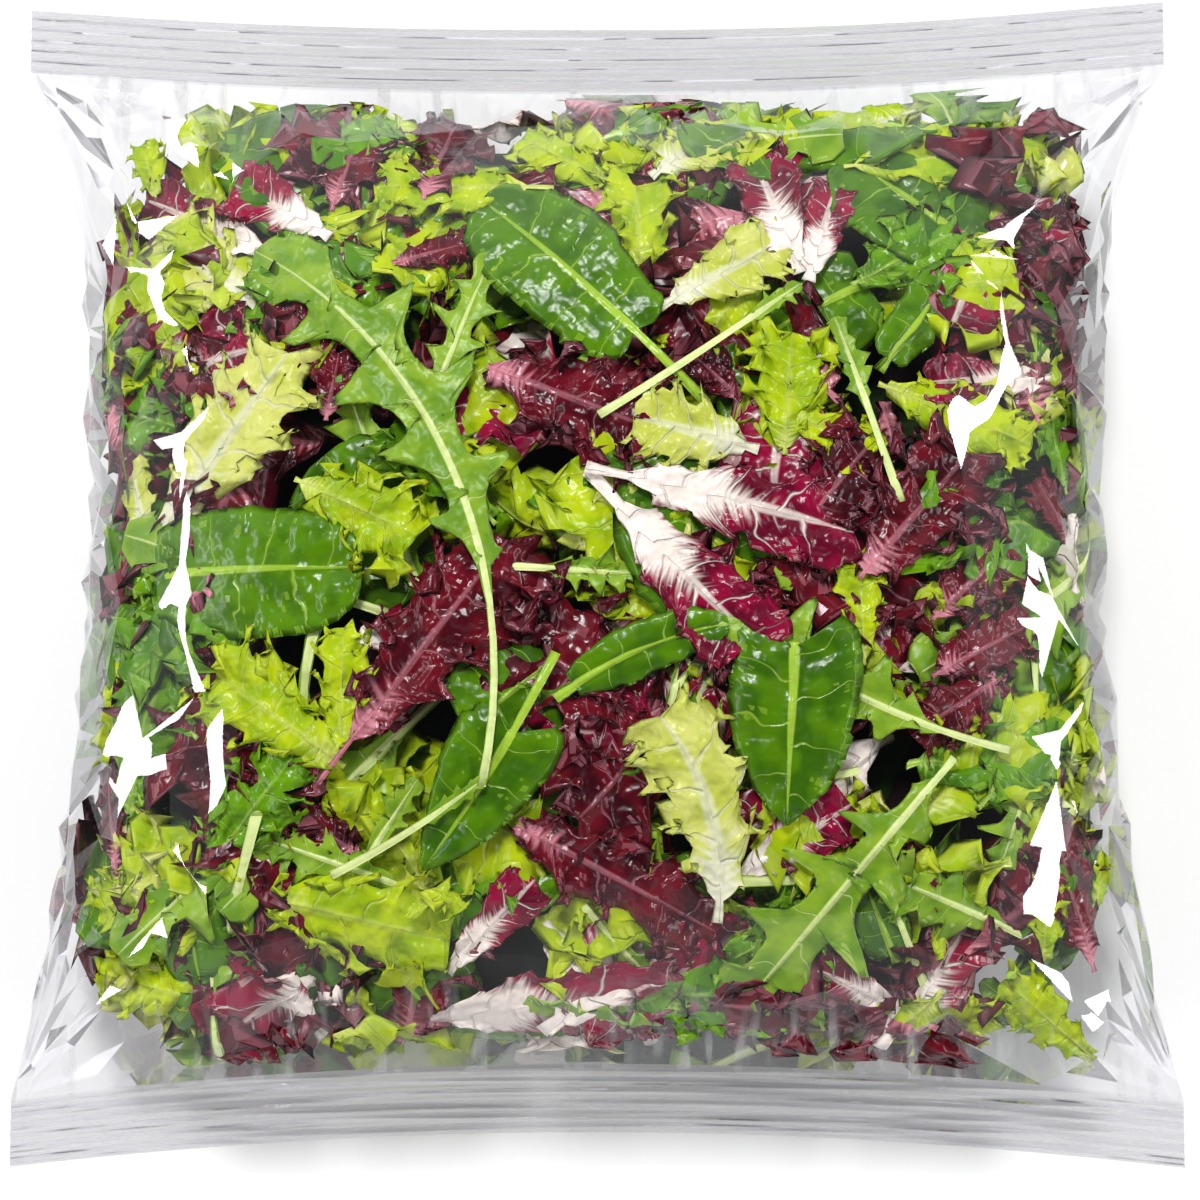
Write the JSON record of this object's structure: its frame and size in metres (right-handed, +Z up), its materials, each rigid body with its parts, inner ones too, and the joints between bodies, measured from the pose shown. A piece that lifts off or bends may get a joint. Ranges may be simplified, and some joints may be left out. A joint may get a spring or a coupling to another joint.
{
  "type": "sealed bag of salad leaves",
  "caption": "Clear pillow bag of mixed salad leaves lying on its back, with ribbed end seals, a fin seal down the back, and drawn-in, pleated sides.",
  "frame": {"origin": "on the surface that the bag lies on, under the centre of its outline", "axes": "+Z up through the bag's shown face, +Y towards the upper end seal, +X across the width"},
  "size_m": [0.28, 0.284, 0.0755],
  "materials": {
    "clear_film": "clear glossy film, creased",
    "green_leaf": "fresh mid and dark green salad leaf, waxy, with paler veins",
    "lime_leaf": "fresh yellow-green salad leaf, crisp and frilled",
    "pale_leaf": "blanched cream and yellow-green salad leaf",
    "red_leaf": "dark red salad leaf, glossy, with pink or white ribs"
  },
  "bodies": {
    "root": {"salad_bag": "clear_film"}
  },
  "joints": []
}
